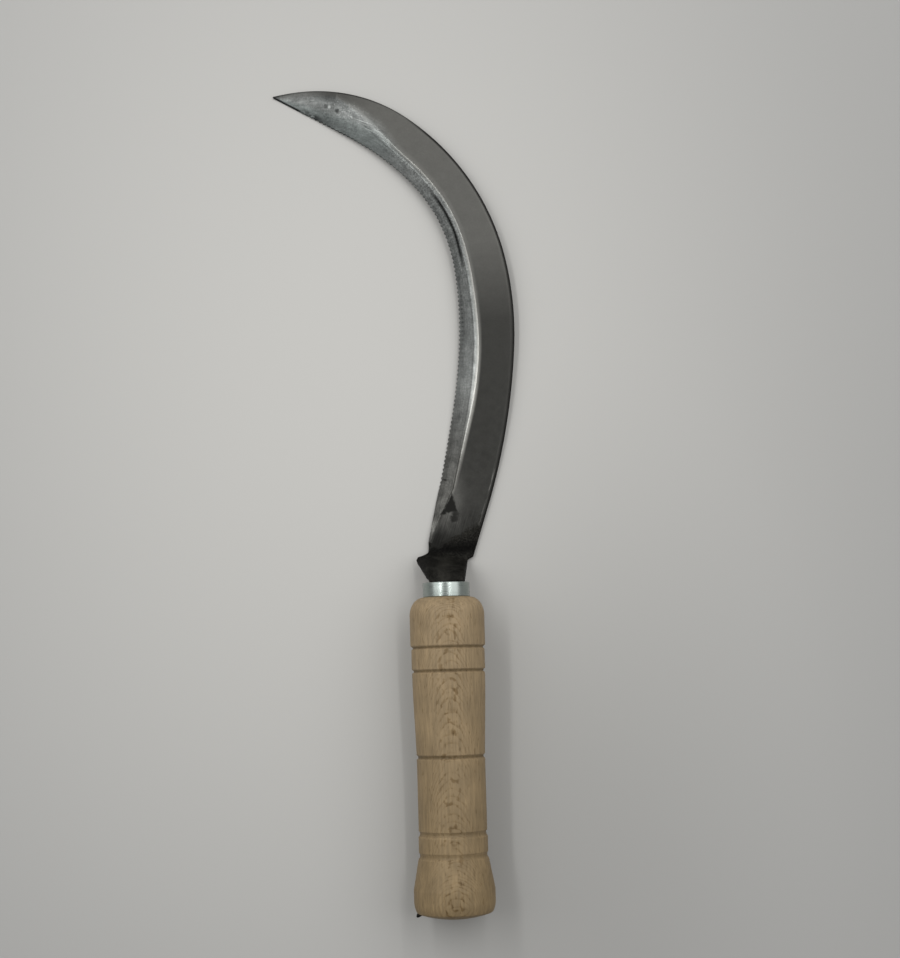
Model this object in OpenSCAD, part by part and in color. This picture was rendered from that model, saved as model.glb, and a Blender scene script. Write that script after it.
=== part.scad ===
// Hand sickle: a toothed, cranked blade whose tang runs right through a turned handle.
// It lies as it rests on a bench: the heel, the point and the butt's widest band touch z = 0.
// The handle's axis runs along Y with the blade towards +Y, and the cutting edge faces -X.
// The origin is the middle of the footprint. All sizes are in millimetres.

/* [Handle] */
// Length of the wood from its shoulder to the middle of the butt
handle_len = 139.4; // [128:0.2:170]
// Diameter of the swell behind the ferrule
swell_d = 33; // [29:0.5:38]
// Length of the rounded shoulder in front of the swell
shoulder_len = 8; // [4:0.5:12]
// Diameter of the first ring, between the front two grooves
band_d = 32.3; // [28:0.1:36]
// Diameter of the barrel behind the first ring
barrel_d = 32.1; // [28:0.1:36]
// Diameter of the waist in front of the rear ring
waist_d = 29.9; // [26:0.1:34]
// Diameter of the rear ring
ring_d = 30.2; // [26:0.1:34]
// End of the barrel's taper to the fourth groove
waist_run = 27; // [15:0.5:40]
// Diameter of the flared butt at its widest
flare_d = 35.5; // [32:0.1:40]
// Length of the straight band at the widest part of the butt
flare_band = 5; // [4:0.5:8]
// Depth from the widest band to the corner of the butt
rim_len = 4.8; // [3:0.1:7]
// Radius of the turning that rounds the rim
rim_r = 10.5; // [8:0.5:16]
// Height of the butt's domed end
dome_h = 3; // [1.2:0.1:4]

/* [Grooves] */
// Shoulder to first groove
groove_1 = 22.1; // [18:0.1:26]
// Shoulder to second groove
groove_2 = 32.4; // [29:0.1:40]
// Shoulder to third groove
groove_3 = 69.7; // [55:0.1:80]
// Butt to fourth groove
groove_4 = 36.6; // [31:0.1:42]
// Butt to fifth groove, where the flare begins
groove_5 = 27.2; // [24:0.1:29]
// Depth of each groove
groove_depth = 1; // [0.5:0.1:1.6]
// Radius of the gouge that cuts the grooves
gouge_r = 1.1; // [0.8:0.1:1.8]

/* [Ferrule] */
// Outside diameter of the ring
ferrule_d = 20.7; // [19:0.1:24]
// Length of the ring
ferrule_len = 6.4; // [5:0.1:12]
// Thickness of the ring's wall
ferrule_wall = 1.2; // [0.8:0.1:1.5]
// Size of the rounded lip at the ring's mouth
ferrule_lip = 0.4; // [0.2:0.1:0.6]
// Gap all round between the ring and the wood inside it
ferrule_fit = 0.05; // [0.02:0.01:0.1]

/* [Back of the blade] */
// Straight run of the back from the heel
heel_run = 22.5; // [10:0.5:35]
// Radius of the first arc of the back
arc_1_r = 298; // [220:1:400]
// Turn of the first arc, in degrees
arc_1_turn = 14.5; // [10:0.1:20]
// Radius of the second arc of the back
arc_2_r = 150; // [120:1:200]
// Turn of the second arc, in degrees
arc_2_turn = 15.2; // [10:0.1:20]
// Radius of the third arc of the back
arc_3_r = 113.8; // [95:0.2:130]
// Turn of the third arc, in degrees
arc_3_turn = 42.8; // [34:0.1:48]
// Radius of the last arc of the back, to the point
arc_4_r = 73.6; // [64:0.2:90]
// Turn of the last arc, in degrees
arc_4_turn = 49.8; // [40:0.5:56]
// Lean of the heel from the line across the handle, in degrees
heel_lean = 18.3; // [10:0.1:24]

/* [Width of the blade] */
// Width at the heel
heel_w = 21.3; // [18:0.1:24]
// Width at the belly
belly_w = 25.4; // [22:0.1:29]
// Width at the bow, before the point
bow_w = 22.3; // [19:0.1:25]
// Width at the very tip
tip_w = 0.6; // [0.4:0.1:2]
// Distance along the back in which the heel widens to the belly
heel_swell = 60; // [40:1:75]
// Heel to the end of the belly, along the back
belly_end = 102; // [85:1:120]
// Heel to the start of the bow, along the back
bow_start = 186; // [150:1:200]
// Length along the back in which the bow narrows to the tip
point_len = 100; // [70:1:120]
// Fullness of the point
point_fullness = 4.2; // [3:0.1:5]

/* [Section of the blade] */
// Thickness of the flat of the blade
blade_t = 2.2; // [1.8:0.1:3]
// Thickness at the tip
tip_t = 1.1; // [0.8:0.1:1.6]
// Length along the back in which the blade thins to the tip
thin_len = 70; // [40:1:100]
// Height of the arch under the bow of the blade
arch_h = 4; // [0:0.5:6]
// Heel to the start of the arch, along the back
arch_start = 30; // [20:1:60]
// Width of the rounded back edge
back_round = 1.3; // [0.8:0.1:1.8]
// Width of the ground bevel at the bow
bevel_w = 6.3; // [5:0.1:8]
// Extra width of the bevel at the belly
bevel_swell = 2; // [0:0.1:3]
// Heel to the widest part of the bevel, along the back
bevel_peak = 88; // [70:1:105]
// Length along the back in which the bevel runs out at the heel
bevel_runout = 27; // [18:1:36]
// Tip to where the bevel starts to spread over the point
nose_start = 79; // [60:1:95]
// Tip to where the bevel covers the point
nose_end = 23; // [10:1:35]
// Width of the step down from the flat to the bevel
step_w = 2.4; // [1.6:0.1:3]
// Height of that step
step_h = 0.8; // [0.4:0.1:1]
// Thickness of the cutting edge
edge_t = 0.3; // [0.2:0.05:0.5]

/* [Teeth] */
// Spacing of the teeth along the edge
tooth_pitch = 2; // [1.4:0.1:3]
// Depth of the teeth
tooth_depth = 0.6; // [0.2:0.05:0.9]
// Heel to the first teeth, along the back
teeth_start = 22; // [12:1:40]
// Tip to the last teeth, along the back
teeth_end = 12; // [6:1:30]

/* [Neck] */
// Ferrule to the back corner of the heel
neck_run = 12.6; // [11:0.1:18]
// Handle's axis to the back corner of the heel
heel_offset = 12.8; // [10:0.1:15]
// Width of the neck where it meets the handle
neck_w = 15.6; // [14:0.1:16.2]
// Thickness of the neck where it meets the handle
neck_t = 6; // [5:0.1:7]
// Radius of the two bends of the crank
crank_r = 5; // [4:0.1:6]
// How far the neck stands off the handle's axis, towards the back
neck_shift = 0.5; // [0:0.1:0.8]
// How far the lobe stands out on the edge side
lobe_out = 5.7; // [2:0.1:7]
// Place of the lobe, as a share of the neck's run
lobe_at = 0.37; // [0.28:0.01:0.44]
// Depth of the notch on the back side
notch_in = 2; // [0.5:0.1:2.5]
// Length of the notch, as a share of the neck's run
notch_len = 0.1; // [0.08:0.01:0.12]

/* [Tang] */
// Width of the tang inside the ferrule
tang_w = 8; // [6:0.1:9]
// Thickness of the tang inside the ferrule
tang_t = 5.2; // [4:0.1:5.5]
// Width of the tang at the butt
tang_end_w = 1.9; // [1.6:0.1:2.6]
// Thickness of the tang at the butt
tang_end_t = 4; // [3:0.1:4.5]
// Gap all round between the tang's corners and the bore
tang_fit = 0.15; // [0.1:0.05:0.3]
// Inside radius of the bend that clinches the tang over the butt
clinch_r = 1.6; // [1.5:0.1:2]
// Radius of the outer curve of the clinched end
clinch_bow = 160; // [80:5:250]
// How far the clinched end stands out of the middle of the butt
clinch_proud = 0.4; // [0.1:0.1:1]
// Turn of the clinched end below level, in degrees
clinch_turn = 10; // [0:1:30]
// Reach of the clinched end from the handle's axis
clinch_reach = 17.2; // [10:0.1:17.3]
// Length of the hammered, narrower tip of the tang
clinch_nose = 0.7; // [0.3:0.1:2]
// Width of the tang at its tip
clinch_tip_w = 1.8; // [1.6:0.1:2.6]
// Thickness of the tang at its tip
clinch_tip_t = 3; // [2:0.1:4]
// Gap under the clinched end and under the neck's shoulder
seat_gap = 0.1; // [0.05:0.05:0.2]

/* [Hidden] */
$fn = 96;

axis_z = flare_d / 2;
tenon_r = ferrule_d / 2 - ferrule_wall - ferrule_fit;
tenon_chamfer = 0.5;
bar_chamfer = 0.5;
bore_run = handle_len + ferrule_len;
clear = 1;

function mix(a, b, t) = a + (b - a) * t;
function clamp(t) = max(0, min(1, t));
function ease(t) = (1 - cos(180 * clamp(t))) / 2;
function arc_points(centre, r, from, to, steps) =
    [for (i = [0:steps]) let (a = mix(from, to, i / steps)) centre + r * [cos(a), sin(a)]];

// Handle: outline of the turning, as [radius, place along the axis]
shoulder_steps = 8;
barrel_steps = 8;
rim_steps = 5;
dome_steps = 6;
corner_r = 0.8;
corner_drop = 0.48;
waist_start = handle_len - groove_4 - waist_run;
flare_front = handle_len - rim_len - flare_band - dome_h;
rim_turn = asin(rim_len / rim_r);
corner = [flare_d / 2 - rim_r * (1 - cos(rim_turn)), -(flare_front + flare_band + rim_len)];
dome_edge = corner - [corner_r, corner_drop];
dome_rise = handle_len + dome_edge[1];
dome_r = (pow(dome_edge[0], 2) + pow(dome_rise, 2)) / (2 * dome_rise);
dome_centre = [0, dome_r - handle_len];

shoulder_curve = [for (i = [0:shoulder_steps])
    let (a = 90 * i / shoulder_steps)
    [mix(ferrule_d / 2, swell_d / 2, sin(a)), -shoulder_len * (1 - cos(a))]];
barrel_curve = [for (i = [0:barrel_steps])
    let (t = i / barrel_steps)
    [mix(barrel_d, waist_d, ease(t)) / 2, -mix(groove_2, waist_start, t)]];
rim_curve = arc_points([flare_d / 2 - rim_r, corner[1] + rim_len], rim_r, 0, -rim_turn, rim_steps);
dome_turn = asin(dome_edge[0] / dome_r);
dome_curve = [for (i = [0:dome_steps])
    let (a = dome_turn * (1 - i / dome_steps))
    dome_centre + dome_r * [sin(a), -cos(a)]];

module turned_blank() {
    rotate_extrude()
        polygon(concat(
            [[0, ferrule_len], [tenon_r - tenon_chamfer, ferrule_len],
             [tenon_r, ferrule_len - tenon_chamfer], [tenon_r, 0]],
            shoulder_curve,
            [[swell_d / 2, -groove_1], [band_d / 2, -groove_1], [band_d / 2, -groove_2]],
            barrel_curve,
            [[waist_d / 2, groove_4 - handle_len], [ring_d / 2, groove_4 - handle_len],
             [ring_d / 2, groove_5 - handle_len], [flare_d / 2, -flare_front]],
            rim_curve,
            dome_curve));
}

// Radius of the blank just in front of each groove
grooves = [
    [groove_1, swell_d / 2],
    [groove_2, band_d / 2],
    [groove_3, mix(barrel_d, waist_d, ease((groove_3 - groove_2) / (waist_start - groove_2))) / 2],
    [handle_len - groove_4, ring_d / 2],
    [handle_len - groove_5, ring_d / 2]];

module groove(at, radius) {
    translate([0, 0, -at])
        rotate_extrude()
            translate([radius - groove_depth + gouge_r, 0])
                circle(r = gouge_r, $fn = 32);
}

function bore_radius(w, t) = sqrt(w * w + t * t) / 2 + tang_fit;

module tang_bore() {
    translate([0, 0, -handle_len - clear])
        cylinder(h = bore_run + 2 * clear,
            r1 = bore_radius(tang_end_w, tang_end_t),
            r2 = bore_radius(tang_w, tang_t));
}

// Slot in the domed butt that the clinched end is hammered into
module clinch_slot() {
    side = flare_d / 2 + clear;
    outside = -clinch_bow - clear;
    rotate([0, 0, -clinch_turn])
        translate([0, 0, clinch_centre[1]])
            rotate([90, 0, 0])
                linear_extrude(height = tang_end_t + 2 * tang_fit, center = true) {
                    difference() {
                        translate([-side, outside]) square([side, clinch_bow]);
                        circle(r = clinch_bow - tang_end_w - seat_gap, $fn = 360);
                    }
                    translate([-bend_mid_r, outside])
                        square([bend_mid_r, -outside - bend_reach * cos(bend_lean)]);
                }
}

module along_handle() {
    translate([0, 0, axis_z]) rotate([-90, 0, 0]) children();
}

module handle() {
    color([0.62, 0.52, 0.38])
        in_place()
            along_handle()
                difference() {
                    turned_blank();
                    for (g = grooves) groove(g[0], g[1]);
                    tang_bore();
                    clinch_slot();
                }
}

// Ferrule: a ring with a rounded lip at its mouth
ferrule_profile = concat(
    [[ferrule_d / 2 - ferrule_wall, 0], [ferrule_d / 2, 0]],
    arc_points([ferrule_d / 2 - ferrule_lip, ferrule_len - ferrule_lip], ferrule_lip, 0, 90, 4),
    [[ferrule_d / 2 - ferrule_wall, ferrule_len]]);

module ferrule() {
    color([0.74, 0.76, 0.74])
        in_place()
            along_handle()
                rotate_extrude() polygon(ferrule_profile);
}

// Back of the blade: a place on it is [x, y, heading] at a distance from the heel
arcs = [[arc_1_r, arc_1_turn], [arc_2_r, arc_2_turn], [arc_3_r, arc_3_turn], [arc_4_r, arc_4_turn]];
function arc_len(a) = a[0] * a[1] * PI / 180;
back_len = heel_run + arc_len(arcs[0]) + arc_len(arcs[1]) + arc_len(arcs[2]) + arc_len(arcs[3]);
heel = [heel_offset, ferrule_len + neck_run, 90 - heel_lean];

function straight_on(p, s) = [p[0] + s * cos(p[2]), p[1] + s * sin(p[2]), p[2]];
function round_arc(p, r, s) =
    let (h = p[2] + s / r * 180 / PI)
    [p[0] + r * (sin(h) - sin(p[2])), p[1] - r * (cos(h) - cos(p[2])), h];
function on_arcs(s, p, i) =
    s <= arc_len(arcs[i]) || i == len(arcs) - 1
        ? round_arc(p, arcs[i][0], s)
        : on_arcs(s - arc_len(arcs[i]), round_arc(p, arcs[i][0], arc_len(arcs[i])), i + 1);
function back_at(s) = s <= heel_run
    ? straight_on(heel, s)
    : on_arcs(s - heel_run, straight_on(heel, heel_run), 0);
function bend_on_arcs(s, i) =
    s <= arc_len(arcs[i]) || i == len(arcs) - 1 ? 1 / arcs[i][0] : bend_on_arcs(s - arc_len(arcs[i]), i + 1);
function bend_at(s) = s <= heel_run ? 0 : bend_on_arcs(s - heel_run, 0);

// Width, thickness and bevel at a distance along the back
function body_width(s) =
    s < heel_swell ? mix(heel_w, belly_w, sin(90 * s / heel_swell))
    : mix(belly_w, bow_w, ease((s - belly_end) / (bow_start - belly_end)));
function width(s) =
    let (left = clamp((back_len - s) / point_len))
    mix(tip_w, body_width(s), 1 - pow(1 - left, point_fullness));
function thickness(s) = mix(tip_t, blade_t, sin(90 * clamp((back_len - s) / thin_len)));
function slimness(s) = min(1, width(s) / (6 * back_round));
function ground(s) = clamp(s / bevel_runout);
function bevel(s) =
    let (plain = bevel_w + bevel_swell * exp(-pow((s - bevel_peak) / 35, 2)),
         spread = pow(clamp((nose_start - back_len + s) / (nose_start - nose_end)), 2),
         least = 0.6,
         full = mix(plain, width(s), spread),
         room = width(s) - slimness(s) * (back_round + step_w / 2 + 0.4))
    min(mix(least, full, ground(s)), room);

// One cross-section of the blade at s: [across from the back, height], nine points from the
// underside round the back to the foot of the step
function body_section(s) =
    let (t = thickness(s), k = slimness(s), w = width(s), b = bevel(s),
         half = max(0.12, step_w / 2 * ground(s)) * k,
         drop = step_h * ground(s) * t / blade_t,
         foot = w - b + half,
         back = back_round * k)
    [[mix(foot, w, 0.4), 0], [0.25 * back, 0], [0, 0.2 * t], [0, 0.6 * t],
     [0.35 * back, 0.88 * t], [back, t],
     [w - b - half, t], [w - b, t - 0.35 * drop], [foot, t - drop]];

// Three points of the toothed edge at s: middle of the bevel, top and bottom of the edge
function tooth_cut(s) =
    tooth_depth * clamp((s - teeth_start) / 8) * clamp((back_len - teeth_end - s) / 8);
function edge_section(s, gullet) =
    let (t = thickness(s), w = width(s), section = body_section(s),
         foot = section[8],
         top = mix(t * 0.8, min(edge_t, t * 0.5), ground(s)),
         cut = gullet * tooth_cut(s),
         groove = gullet * 0.25 * (tooth_cut(s) / tooth_depth))
    [[mix(foot[0], w, 0.4), mix(foot[1], top, 0.4) - 0.35 * groove],
     [w - cut, top * (1 - 2 * groove)],
     [w - cut, 0]];

// The blade stands on its heel and its point, and its underside is arched between them
function arch(s) =
    arch_h * pow(max(0, sin(180 * clamp((s - arch_start) / (back_len - arch_start)))), 1.5);
function lift(s, q) =
    let (p = back_at(s))
    [p[0] - q[0] * sin(p[2]), p[1] + q[0] * cos(p[2]), q[1] + arch(s)];
function blade_body(s) = [for (q = body_section(s)) lift(s, q)];
function blade_edge(s, gullet) = [for (q = edge_section(s, gullet)) lift(s, q)];

// Places of the teeth: equal steps along the cutting edge, measured on the back
function edge_share(s) = 1 - width(s) * bend_at(s);
measure_steps = 120;
edge_len = back_len / measure_steps
    * (edge_share(0) / 2 + edge_share(back_len) / 2
        + sum_of([for (i = [1:measure_steps - 1]) edge_share(back_len * i / measure_steps)]));
function sum_of(v, i = 0) = i < len(v) ? v[i] + sum_of(v, i + 1) : 0;
teeth_per_station = 2;
stations = round(edge_len / tooth_pitch / teeth_per_station);
half_teeth = 2 * teeth_per_station * stations;
half_step = edge_len / half_teeth;
raw_places = [for (i = 0, s = 0; i <= half_teeth; s = s + half_step / edge_share(s), i = i + 1) s];
places = [for (s = raw_places) s * back_len / raw_places[half_teeth]];

// A bar's cross-section: the same twelve points round a chamfered rectangle
function bar_points(centre, left, up, w, t) =
    let (c = bar_chamfer, l = w / 2, h = t / 2)
    [for (q = [[l - c, -h], [c - l, -h], [-l, c - h], [-l, 0], [-l, h - c], [c - l, h],
               [-l / 3, h], [0, h], [l / 3, h], [l - c, h], [l, h - c], [l, c - h]])
        centre + q[0] * left + q[1] * up];

// Clinched end and tang, from the tip to the ferrule
end_w = tang_end_w;
clinch_centre = [0, clinch_bow - handle_len - clinch_proud];
bend_mid_r = clinch_r + end_w / 2;
bend_reach = clinch_bow - end_w - clinch_r;
bend_lean = asin(bend_mid_r / bend_reach);
bend_centre = clinch_centre + bend_reach * [-sin(bend_lean), -cos(bend_lean)];
nose_lean = asin(clinch_reach / clinch_bow);
clinch_lean = asin((clinch_reach - clinch_nose) / clinch_bow);
nose_share = 0.6;
clinch_steps = 6;
bend_steps = 6;
tang_steps = 8;

// The clinched end is turned below level, and the tang twists back to level on its way
function turned_down(p, share) =
    let (a = clinch_turn * share, z = p[2] - axis_z)
    [p[0] * cos(a) - z * sin(a), p[1], axis_z + p[0] * sin(a) + z * cos(a)];
function flat_bar(p, heading, w, t, share) =
    [for (q = bar_points([p[0], p[1], axis_z], [-sin(heading), cos(heading), 0], [0, 0, 1], w, t))
        turned_down(q, share)];
nose_bar = flat_bar(clinch_centre + (clinch_bow - clinch_tip_w / 2) * [-sin(nose_lean), -cos(nose_lean)],
    -nose_lean, nose_share * clinch_tip_w, nose_share * clinch_tip_t, 1);
clinch_bars = [for (i = [0:clinch_steps - 1])
    let (f = i / clinch_steps, a = mix(clinch_lean, bend_lean, f),
         w = mix(clinch_tip_w, end_w, f), t = mix(clinch_tip_t, tang_end_t, f),
         r = clinch_bow - w / 2)
    flat_bar(clinch_centre + r * [-sin(a), -cos(a)], -a, w, t, 1)];
bend_bars = [for (i = [0:bend_steps])
    let (h = mix(-bend_lean, 90, i / bend_steps))
    flat_bar(bend_centre + bend_mid_r * [sin(h), -cos(h)], h, end_w, tang_end_t, 1)];
tang_top = ferrule_len + seat_gap;
tang_bars = [for (i = [1:tang_steps])
    let (y = mix(bend_centre[1], tang_top, i / tang_steps), f = (y + handle_len) / bore_run)
    flat_bar([0, y], 90, mix(end_w, tang_w, f), mix(tang_end_t, tang_t, f), 1 - i / tang_steps)];

// Neck: a plate that rises from the heel to the handle's axis in two bends
heel_edge = lift(0, [heel_w, 0]);
heel_mid_z = blade_t / 2;
rise = axis_z - heel_mid_z;
run = (heel[1] + heel_edge[1]) / 2 - tang_top;
centre_gap = norm([run, rise - 2 * crank_r]);
crank = atan2(rise - 2 * crank_r, run) + asin(2 * crank_r / centre_gap);
bend_run = crank_r * sin(crank);
function crank_slope(x) =
    x < bend_run ? asin(x / crank_r) : x > run - bend_run ? asin((run - x) / crank_r) : crank;
function crank_height(x) =
    x < bend_run ? crank_r * (1 - cos(crank_slope(x)))
    : x > run - bend_run ? rise - crank_r * (1 - cos(crank_slope(x)))
    : crank_r * (1 - cos(crank)) + (x - bend_run) * tan(crank);

notch_at = 0.03;
function lobe(q) = q < lobe_at ? pow(q / lobe_at, 4) : pow((1 - q) / (1 - lobe_at), 1.3);
function notch(q) =
    q < notch_at ? 0
    : q < notch_at + notch_len ? (q - notch_at) / notch_len
    : (1 - q) / (1 - notch_at - notch_len);
function neck_bar(q) =
    let (left_end = [mix(heel_edge[0], neck_shift - neck_w / 2, q) - lobe_out * lobe(q),
                     mix(heel_edge[1], tang_top, pow(q, 0.85))],
         right_end = [mix(heel[0], neck_shift + neck_w / 2, q) - notch_in * notch(q),
                      mix(heel[1], tang_top, q)],
         across = left_end - right_end,
         left = [across[0], across[1], 0] / norm(across),
         back_way = [left[1], -left[0], 0],
         a = crank_slope(q * run),
         up = sin(a) * back_way + cos(a) * [0, 0, 1],
         z = heel_mid_z + crank_height(q * run),
         mid = (left_end + right_end) / 2)
    bar_points([mid[0], mid[1], z], left, up, norm(across), mix(blade_t, neck_t, ease(q)));
neck_places = [1, 0.94, 0.88, 0.8, 0.72, 0.62, 0.52, 0.45, lobe_at, 0.26, 0.2,
               notch_at + notch_len, 0.07, notch_at];
neck_bars = [for (q = neck_places) neck_bar(q)];

// The forging's points: every ring's nine body points, then every ring's three edge points
bars = concat([nose_bar], clinch_bars, bend_bars, tang_bars, neck_bars);
blade_rings = [for (i = [0:stations]) blade_body(places[2 * teeth_per_station * i])];
fine_edges = [for (j = [0:half_teeth]) blade_edge(places[j], j % 2)];
rings = len(bars) + stations + 1;
body_points = concat(
    [for (b = bars) for (j = [0:8]) b[j]],
    [for (b = blade_rings) for (p = b) p]);
edge_points = concat(
    [for (b = bars) for (j = [9:11]) b[j]],
    [for (e = fine_edges) for (p = e) p]);
forging_points = concat(body_points, edge_points);

function body(i, j) = 9 * i + j;
function edge(m, j) = len(body_points) + 3 * m + j;
// Number of the first edge ring of body ring i
function first_edge(i) = i < len(bars) ? i : len(bars) + 2 * teeth_per_station * (i - len(bars));
function quad(a, b, c, d) = [[a, b, c], [a, c, d]];

body_faces = [for (i = [0:rings - 2]) for (j = [0:7])
    each quad(body(i, j), body(i, j + 1), body(i + 1, j + 1), body(i + 1, j))];
edge_faces = [for (m = [0:first_edge(rings - 1) - 1]) for (j = [0:1])
    each quad(edge(m, j), edge(m, j + 1), edge(m + 1, j + 1), edge(m + 1, j))];
// Fans that join one body line to the finer edge line beside it
function half_way(i) = floor((first_edge(i) + first_edge(i + 1)) / 2);
top_fans = [for (i = [0:rings - 2]) each concat(
    [for (m = [first_edge(i):1:half_way(i) - 1]) [body(i, 8), edge(m, 0), edge(m + 1, 0)]],
    [[body(i, 8), edge(half_way(i), 0), body(i + 1, 8)]],
    [for (m = [half_way(i):1:first_edge(i + 1) - 1]) [body(i + 1, 8), edge(m, 0), edge(m + 1, 0)]])];
under_fans = [for (i = [0:rings - 2]) each concat(
    [for (m = [first_edge(i):1:half_way(i) - 1]) [body(i, 0), edge(m + 1, 2), edge(m, 2)]],
    [[body(i, 0), body(i + 1, 0), edge(half_way(i), 2)]],
    [for (m = [half_way(i):1:first_edge(i + 1) - 1]) [body(i + 1, 0), edge(m + 1, 2), edge(m, 2)]])];
function ring(i) = concat([for (j = [0:8]) body(i, j)], [for (j = [0:2]) edge(first_edge(i), j)]);
function flipped(v) = [for (i = [len(v) - 1:-1:0]) v[i]];
forging_faces = concat(body_faces, edge_faces, top_fans, under_fans,
    [flipped(ring(0)), ring(rings - 1)]);

module blade() {
    color([0.33, 0.34, 0.33])
        in_place()
            polyhedron(points = forging_points, faces = forging_faces, convexity = 10);
}

// The middle of the footprint becomes the origin
x_low = min(-flare_d / 2, min([for (p = forging_points) p[0]]));
x_high = max(flare_d / 2, max([for (p = forging_points) p[0]]));
y_low = min(-handle_len, min([for (p = forging_points) p[1]]));
y_high = max([for (p = forging_points) p[1]]);

module in_place() {
    translate([-(x_low + x_high) / 2, -(y_low + y_high) / 2, 0]) children();
}

blade();
ferrule();
handle();
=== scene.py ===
import bpy
import numpy as np
from mathutils import Matrix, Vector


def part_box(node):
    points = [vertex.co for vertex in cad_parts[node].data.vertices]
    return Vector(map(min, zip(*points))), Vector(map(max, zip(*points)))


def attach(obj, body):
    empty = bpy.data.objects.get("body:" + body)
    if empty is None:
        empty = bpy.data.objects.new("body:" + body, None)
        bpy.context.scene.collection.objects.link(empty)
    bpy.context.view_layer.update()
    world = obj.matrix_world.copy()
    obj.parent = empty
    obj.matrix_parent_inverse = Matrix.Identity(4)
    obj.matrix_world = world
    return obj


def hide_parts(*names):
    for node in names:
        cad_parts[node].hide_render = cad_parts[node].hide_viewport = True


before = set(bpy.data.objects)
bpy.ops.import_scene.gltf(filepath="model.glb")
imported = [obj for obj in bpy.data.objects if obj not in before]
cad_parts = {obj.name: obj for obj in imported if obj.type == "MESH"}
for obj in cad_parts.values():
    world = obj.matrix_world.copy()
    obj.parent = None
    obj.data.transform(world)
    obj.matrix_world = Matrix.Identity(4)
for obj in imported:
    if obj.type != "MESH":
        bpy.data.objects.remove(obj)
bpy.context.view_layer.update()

# Handle: one turned piece of beech, dull and bare, with five cut grooves and a flared butt.
# It is turned on a lathe, bored through, and driven onto the tang of the blade.
# Lengths are in millimetres. Places along the handle are counted from its shoulder.
MM = 0.001
ring_low, ring_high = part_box("ferrule")
AXIS_X = (ring_low.x + ring_high.x) / 2 / MM
AXIS_Z = (ring_low.z + ring_high.z) / 2 / MM
SHOULDER_Y = ring_low.y / MM
HANDLE_LEN = 139.4
FERRULE_LEN = 6.4
TENON_R = 9.1
SWELL_R = 16.5
SHOULDER_LEN = 8.0
FERRULE_R = 10.35
BAND_R = 16.15
BARREL_R = 16.05
WAIST_R = 14.95
RING_R = 15.1
FLARE_R = 17.75
RIM_R = 10.5
FLARE_FRONT = 126.6
FLARE_BACK = 131.6
RIM_END = 136.4
CORNER_IN, CORNER_DROP = 0.8, 0.48
BARREL_START, BARREL_END = 32.4, 75.8
# Each groove's place, depth, half-width, and how dark its dirt and painted shade make it.
GROOVES = (
    (22.1, 0.75, 0.8, 0.75), (32.4, 0.8, 0.85, 0.85), (69.7, 0.75, 0.95, 0.8), (102.8, 0.6, 1.3, 0.35),
    (112.2, 0.5, 1.4, 0.3))
BORE_FRONT, BORE_BUTT = 4.92, 2.36
TURNS = 144


def ease(t):
    """Half a cosine wave: 0 at t = 0, 1 at t = 1, level at both ends."""
    return (1 - np.cos(np.pi * np.clip(t, 0, 1))) / 2


def handle_radius(depth):
    """Radius of the turning at each depth behind the shoulder: a quarter of an ellipse, a swell, a ring,
    a tapering barrel, a second ring, a cone and a straight band, then an arc round the rim."""
    shoulder = FERRULE_R + (SWELL_R - FERRULE_R) * np.sqrt(
        1 - (1 - np.clip(depth / SHOULDER_LEN, 0, 1)) ** 2)
    barrel = BARREL_R + (WAIST_R - BARREL_R) * ease((depth - BARREL_START) / (BARREL_END - BARREL_START))
    cone = RING_R + (FLARE_R - RING_R) * (depth - GROOVES[4][0]) / (FLARE_FRONT - GROOVES[4][0])
    rim = FLARE_R - RIM_R + np.sqrt(np.clip(RIM_R ** 2 - (depth - FLARE_BACK) ** 2, 0, None))
    radius = np.select(
        [depth < SHOULDER_LEN, depth < GROOVES[0][0], depth < GROOVES[1][0], depth < GROOVES[3][0],
         depth < GROOVES[4][0], depth < FLARE_FRONT, depth < FLARE_BACK],
        [shoulder, SWELL_R + 0 * depth, BAND_R + 0 * depth, barrel, RING_R + 0 * depth, cone,
         FLARE_R + 0 * depth], rim)
    for place, cut, half, dirt_and_shade in GROOVES:
        radius = radius - cut * np.clip(1 - ((depth - place) / half) ** 2, 0, None) ** 0.7
    return radius


def groove_dirt_and_shade(depth):
    """As dark as its dirt and painted shade at the bottom of each groove, falling to 0 before its lips."""
    return np.max([dirt_and_shade * ease(1.15 - np.abs(depth - place) / (0.75 * half))
                   for place, cut, half, dirt_and_shade in GROOVES], axis=0)


def put_mesh(name, points, faces, material, attributes=None, uv=None):
    """A smooth mesh object of points in millimetres. attributes holds a value for each point, and uv two."""
    mesh = bpy.data.meshes.new(name)
    mesh.from_pydata((points * MM).tolist(), [], faces.tolist() if hasattr(faces, "tolist") else faces)
    for label, values in (attributes or {}).items():
        layer = mesh.attributes.new(label, "FLOAT", "POINT")
        layer.data.foreach_set("value", np.ascontiguousarray(values, dtype=np.float32))
    if uv is not None:
        corner = np.empty(len(mesh.loops), dtype=np.int32)
        mesh.loops.foreach_get("vertex_index", corner)
        layer = mesh.uv_layers.new(name="run")
        layer.data.foreach_set("uv", np.ascontiguousarray(uv[corner], dtype=np.float32).ravel())
    mesh.shade_smooth()
    mesh.update()
    mesh.materials.append(material)
    thing = bpy.data.objects.new(name, mesh)
    bpy.context.scene.collection.objects.link(thing)
    return thing


def grid_faces(rows, columns, closed_rows):
    """Quads of a grid whose columns close round, and whose rows close too if closed_rows."""
    last = rows if closed_rows else rows - 1
    i, j = np.meshgrid(np.arange(last), np.arange(columns), indexing="ij")
    down, across = (i + 1) % rows, (j + 1) % columns
    corners = [i * columns + j, i * columns + across, down * columns + across, down * columns + j]
    return np.stack(corners, axis=-1).reshape(-1, 4)


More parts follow.
